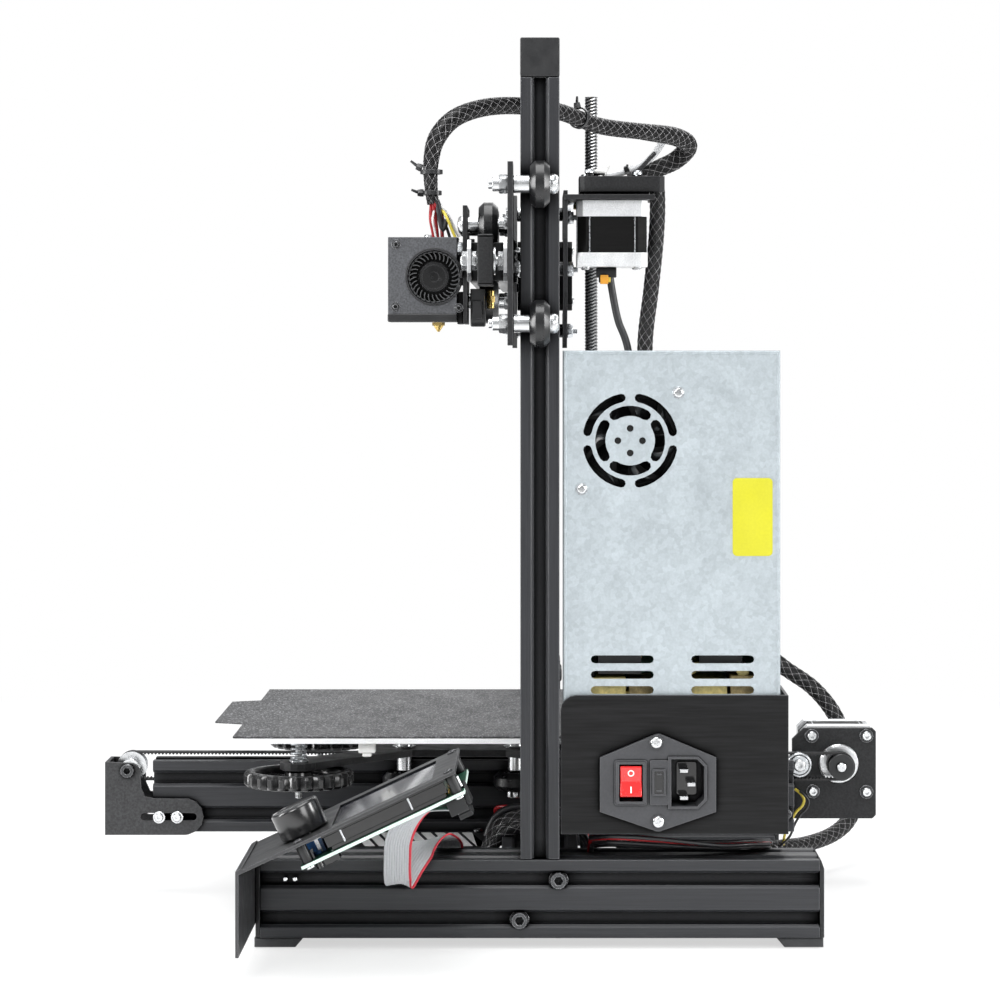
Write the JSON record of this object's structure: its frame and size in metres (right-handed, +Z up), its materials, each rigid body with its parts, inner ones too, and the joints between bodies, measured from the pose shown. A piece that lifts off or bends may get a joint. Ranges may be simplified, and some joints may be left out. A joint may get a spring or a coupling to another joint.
{
  "type": "fdm printer",
  "caption": "Desktop filament printer: slotted beam frame, sliding bed, lifting gantry with hot end carriage, rear power supply and tilted side display.",
  "frame": {"origin": "centre of the whole object's box in x and y, on the table plane under the feet", "axes": "+X to the display side, +Y to the back, +Z up"},
  "size_m": [0.4782, 0.4346, 0.465],
  "materials": {
    "black_anodised_extrusion": "black anodised, fine drawn lines",
    "black_sheet_metal": "matt black powder coat",
    "black_plastic": "moulded black plastic",
    "gloss_black_plastic": "glossy black plastic",
    "black_wheel": "hard smooth black wheel plastic",
    "foot_rubber": "dull dark rubber",
    "galvanised_steel": "galvanised sheet, pale blue grey",
    "silver_steel": "bright plated steel",
    "bed_aluminium": "bright aluminium plate",
    "build_sheet_coating": "speckled dark grey textured sheet",
    "motor_case": "black laminated body between silver end caps",
    "brass_parts": "plain brass",
    "red_rocker": "glossy red",
    "circuit_board": "pale green board edge"
  },
  "bodies": {
    "frame": {"base_beam_right": "black_anodised_extrusion", "base_beam_left": "black_anodised_extrusion", "upright_right": "black_anodised_extrusion", "upright_left": "black_anodised_extrusion", "foot_front_right": "foot_rubber", "foot_front_left": "foot_rubber", "foot_rear_right": "foot_rubber", "foot_rear_left": "foot_rubber", "crossbeam": "black_anodised_extrusion", "bed_rail": "black_anodised_extrusion", "top_bar": "black_anodised_extrusion", "power_supply_case": "galvanised_steel", "socket_bracket": "black_sheet_metal", "power_socket": "black_plastic", "display_panel": "black_sheet_metal", "display_board": "circuit_board", "control_tray": "black_sheet_metal", "control_cover": "black_sheet_metal", "lift_motor": "motor_case", "bed_motor": "motor_case", "bed_motor_plate": "black_sheet_metal", "belt_tensioner": "black_sheet_metal"},
    "bed": {"bed_carriage": "black_sheet_metal", "heated_bed": "bed_aluminium", "build_sheet": "build_sheet_coating"},
    "gantry": {"gantry_beam": "black_anodised_extrusion", "gantry_plate_right": "black_sheet_metal", "gantry_plate_left": "black_sheet_metal", "traverse_motor": "motor_case", "extruder_motor": "motor_case", "extruder_block": "black_plastic"},
    "carriage": {"carriage_plate": "black_sheet_metal", "hot_end_shroud": "black_sheet_metal", "hot_end": "brass_parts"},
    "lift_wheel_right_upper_body": {"lift_wheel_right_upper": "black_wheel"},
    "lift_wheel_right_lower_body": {"lift_wheel_right_lower": "black_wheel"},
    "lift_wheel_right_inner_body": {"lift_wheel_right_inner": "black_wheel"},
    "lift_wheel_left_upper_body": {"lift_wheel_left_upper": "black_wheel"},
    "lift_wheel_left_lower_body": {"lift_wheel_left_lower": "black_wheel"},
    "lift_wheel_left_inner_body": {"lift_wheel_left_inner": "black_wheel"},
    "bed_wheel_front_right_body": {"bed_wheel_front_right": "black_wheel"},
    "bed_wheel_rear_right_body": {"bed_wheel_rear_right": "black_wheel"},
    "bed_wheel_front_left_body": {"bed_wheel_front_left": "black_wheel"},
    "bed_wheel_rear_left_body": {"bed_wheel_rear_left": "black_wheel"},
    "carriage_wheel_upper_right_body": {"carriage_wheel_upper_right": "black_wheel"},
    "carriage_wheel_upper_left_body": {"carriage_wheel_upper_left": "black_wheel"},
    "carriage_wheel_lower_body": {"carriage_wheel_lower": "black_wheel"},
    "lead_screw_body": {"lead_screw": "silver_steel"},
    "bed_pulley_body": {"bed_pulley": "silver_steel"},
    "bed_idler_body": {"bed_idler": "silver_steel"},
    "traverse_pulley_body": {"traverse_pulley": "silver_steel"},
    "traverse_idler_body": {"traverse_idler": "silver_steel"},
    "levelling_knob_front_right_body": {"levelling_knob_front_right": "black_plastic"},
    "levelling_knob_rear_right_body": {"levelling_knob_rear_right": "black_plastic"},
    "levelling_knob_front_left_body": {"levelling_knob_front_left": "black_plastic"},
    "levelling_knob_rear_left_body": {"levelling_knob_rear_left": "black_plastic"},
    "display_knob_body": {"display_knob": "gloss_black_plastic"},
    "rocker_switch_body": {"rocker_switch": "red_rocker"},
    "extruder_lever_body": {"extruder_lever": "bed_aluminium"},
    "blower_impeller_body": {"blower_impeller": "black_plastic"}
  },
  "joints": [
    {"name": "z_travel", "type": "slide", "parent": "frame", "child": "gantry", "axis": [0, 0, 1], "range_m": [-0.2125, 0.036]},
    {"name": "y_travel", "type": "slide", "parent": "frame", "child": "bed", "axis": [0, 1, 0], "range_m": [-0.116, 0.104]},
    {"name": "x_travel", "type": "slide", "parent": "gantry", "child": "carriage", "axis": [1, 0, 0], "range_m": [-0.209, 0.011]},
    {"name": "lift_wheel_right_upper_spin", "type": "hinge", "parent": "gantry", "child": "lift_wheel_right_upper_body", "pos_m": [0.15837, 0.02612, 0.3895], "axis": [0, 1, 0], "range_deg": [-1300, 1300]},
    {"name": "lift_wheel_right_lower_spin", "type": "hinge", "parent": "gantry", "child": "lift_wheel_right_lower_body", "pos_m": [0.15837, 0.02612, 0.3187], "axis": [0, 1, 0], "range_deg": [-1300, 1300]},
    {"name": "lift_wheel_right_inner_spin", "type": "hinge", "parent": "gantry", "child": "lift_wheel_right_inner_body", "pos_m": [0.09878, 0.02612, 0.3541], "axis": [0, 1, 0], "range_deg": [-1300, 1300]},
    {"name": "lift_wheel_left_upper_spin", "type": "hinge", "parent": "gantry", "child": "lift_wheel_left_upper_body", "pos_m": [-0.20422, 0.02612, 0.3895], "axis": [0, 1, 0], "range_deg": [-1300, 1300]},
    {"name": "lift_wheel_left_lower_spin", "type": "hinge", "parent": "gantry", "child": "lift_wheel_left_lower_body", "pos_m": [-0.20422, 0.02612, 0.3172], "axis": [0, 1, 0], "range_deg": [-1300, 1300]},
    {"name": "lift_wheel_left_inner_spin", "type": "hinge", "parent": "gantry", "child": "lift_wheel_left_inner_body", "pos_m": [-0.14463, 0.02612, 0.3541], "axis": [0, 1, 0], "range_deg": [-1300, 1300]},
    {"name": "bed_wheel_front_right_spin", "type": "hinge", "parent": "bed", "child": "bed_wheel_front_right_body", "pos_m": [-0.00313, -0.04938, 0.065], "axis": [0, 0, 1], "range_deg": [-1300, 1300]},
    {"name": "bed_wheel_rear_right_spin", "type": "hinge", "parent": "bed", "child": "bed_wheel_rear_right_body", "pos_m": [-0.00313, 0.01263, 0.065], "axis": [0, 0, 1], "range_deg": [-1300, 1300]},
    {"name": "bed_wheel_front_left_spin", "type": "hinge", "parent": "bed", "child": "bed_wheel_front_left_body", "pos_m": [-0.04272, -0.04938, 0.065], "axis": [0, 0, 1], "range_deg": [-1300, 1300]},
    {"name": "bed_wheel_rear_left_spin", "type": "hinge", "parent": "bed", "child": "bed_wheel_rear_left_body", "pos_m": [-0.04272, 0.01263, 0.065], "axis": [0, 0, 1], "range_deg": [-1300, 1300]},
    {"name": "carriage_wheel_upper_right_spin", "type": "hinge", "parent": "carriage", "child": "carriage_wheel_upper_right_body", "pos_m": [0.09907, -0.00088, 0.371], "axis": [0, 1, 0], "range_deg": [-1300, 1300]},
    {"name": "carriage_wheel_upper_left_spin", "type": "hinge", "parent": "carriage", "child": "carriage_wheel_upper_left_body", "pos_m": [0.05507, -0.00088, 0.371], "axis": [0, 1, 0], "range_deg": [-1300, 1300]},
    {"name": "carriage_wheel_lower_spin", "type": "hinge", "parent": "carriage", "child": "carriage_wheel_lower_body", "pos_m": [0.07708, -0.00088, 0.3314], "axis": [0, 1, 0], "range_deg": [-1300, 1300]},
    {"name": "lead_screw_spin", "type": "hinge", "parent": "frame", "child": "lead_screw_body", "pos_m": [-0.17492, 0.05803, 0.081], "axis": [0, 0, 1], "range_deg": [-1700, 9700]},
    {"name": "bed_pulley_spin", "type": "hinge", "parent": "frame", "child": "bed_pulley_body", "pos_m": [-0.02293, 0.19612, 0.0705], "axis": [1, 0, 0], "range_deg": [-1200, 1200]},
    {"name": "bed_idler_spin", "type": "hinge", "parent": "frame", "child": "bed_idler_body", "pos_m": [-0.02293, -0.20338, 0.071], "axis": [1, 0, 0], "range_deg": [-1200, 1200]},
    {"name": "traverse_pulley_spin", "type": "hinge", "parent": "gantry", "child": "traverse_pulley_body", "pos_m": [-0.21793, -0.00088, 0.3512], "axis": [0, 1, 0], "range_deg": [-2000, 2000]},
    {"name": "traverse_idler_spin", "type": "hinge", "parent": "gantry", "child": "traverse_idler_body", "pos_m": [0.13508, -0.00088, 0.3512], "axis": [0, 1, 0], "range_deg": [-2000, 2000]},
    {"name": "levelling_knob_front_right_turn", "type": "hinge", "parent": "bed", "child": "levelling_knob_front_right_body", "pos_m": [0.06207, -0.10337, 0.075], "axis": [0, 0, 1], "continuous": true},
    {"name": "levelling_knob_rear_right_turn", "type": "hinge", "parent": "bed", "child": "levelling_knob_rear_right_body", "pos_m": [0.06207, 0.06663, 0.075], "axis": [0, 0, 1], "continuous": true},
    {"name": "levelling_knob_front_left_turn", "type": "hinge", "parent": "bed", "child": "levelling_knob_front_left_body", "pos_m": [-0.10792, -0.10337, 0.075], "axis": [0, 0, 1], "continuous": true},
    {"name": "levelling_knob_rear_left_turn", "type": "hinge", "parent": "bed", "child": "levelling_knob_rear_left_body", "pos_m": [-0.10792, 0.06663, 0.075], "axis": [0, 0, 1], "continuous": true},
    {"name": "display_knob_turn", "type": "hinge", "parent": "frame", "child": "display_knob_body", "pos_m": [0.21008, -0.08887, 0.0681], "axis": [0, -0.4237, 0.9058], "continuous": true},
    {"name": "rocker_switch_tilt", "type": "hinge", "parent": "frame", "child": "rocker_switch_body", "pos_m": [0.14608, 0.07253, 0.0848], "axis": [0, 1, 0], "range_deg": [0, 12]},
    {"name": "extruder_lever_swing", "type": "hinge", "parent": "gantry", "child": "extruder_lever_body", "pos_m": [-0.13242, 0.05613, 0.405], "axis": [0, 0, 1], "range_deg": [-8, 0], "stiffness_Nm_per_rad": 0.6},
    {"name": "blower_impeller_spin", "type": "hinge", "parent": "carriage", "child": "blower_impeller_body", "pos_m": [0.09208, -0.02937, 0.3437], "axis": [1, 0, 0], "continuous": true}
  ],
  "couplings": [
    {"joint": "lift_wheel_right_upper_spin", "follows": "z_travel", "rad_per_m": -99},
    {"joint": "lift_wheel_right_lower_spin", "follows": "z_travel", "rad_per_m": -99},
    {"joint": "lift_wheel_right_inner_spin", "follows": "z_travel", "rad_per_m": 99},
    {"joint": "lift_wheel_left_upper_spin", "follows": "z_travel", "rad_per_m": 99},
    {"joint": "lift_wheel_left_lower_spin", "follows": "z_travel", "rad_per_m": 99},
    {"joint": "lift_wheel_left_inner_spin", "follows": "z_travel", "rad_per_m": -99},
    {"joint": "bed_wheel_front_right_spin", "follows": "y_travel", "rad_per_m": 99},
    {"joint": "bed_wheel_rear_right_spin", "follows": "y_travel", "rad_per_m": 99},
    {"joint": "bed_wheel_front_left_spin", "follows": "y_travel", "rad_per_m": -99},
    {"joint": "bed_wheel_rear_left_spin", "follows": "y_travel", "rad_per_m": -99},
    {"joint": "carriage_wheel_upper_right_spin", "follows": "x_travel", "rad_per_m": 99},
    {"joint": "carriage_wheel_upper_left_spin", "follows": "x_travel", "rad_per_m": 99},
    {"joint": "carriage_wheel_lower_spin", "follows": "x_travel", "rad_per_m": -99},
    {"joint": "lead_screw_spin", "follows": "z_travel", "rad_per_m": -785.4},
    {"joint": "bed_pulley_spin", "follows": "y_travel", "rad_per_m": -157.08},
    {"joint": "bed_idler_spin", "follows": "y_travel", "rad_per_m": -126.6},
    {"joint": "traverse_pulley_spin", "follows": "x_travel", "rad_per_m": 157.08},
    {"joint": "traverse_idler_spin", "follows": "x_travel", "rad_per_m": 157.08}
  ]
}
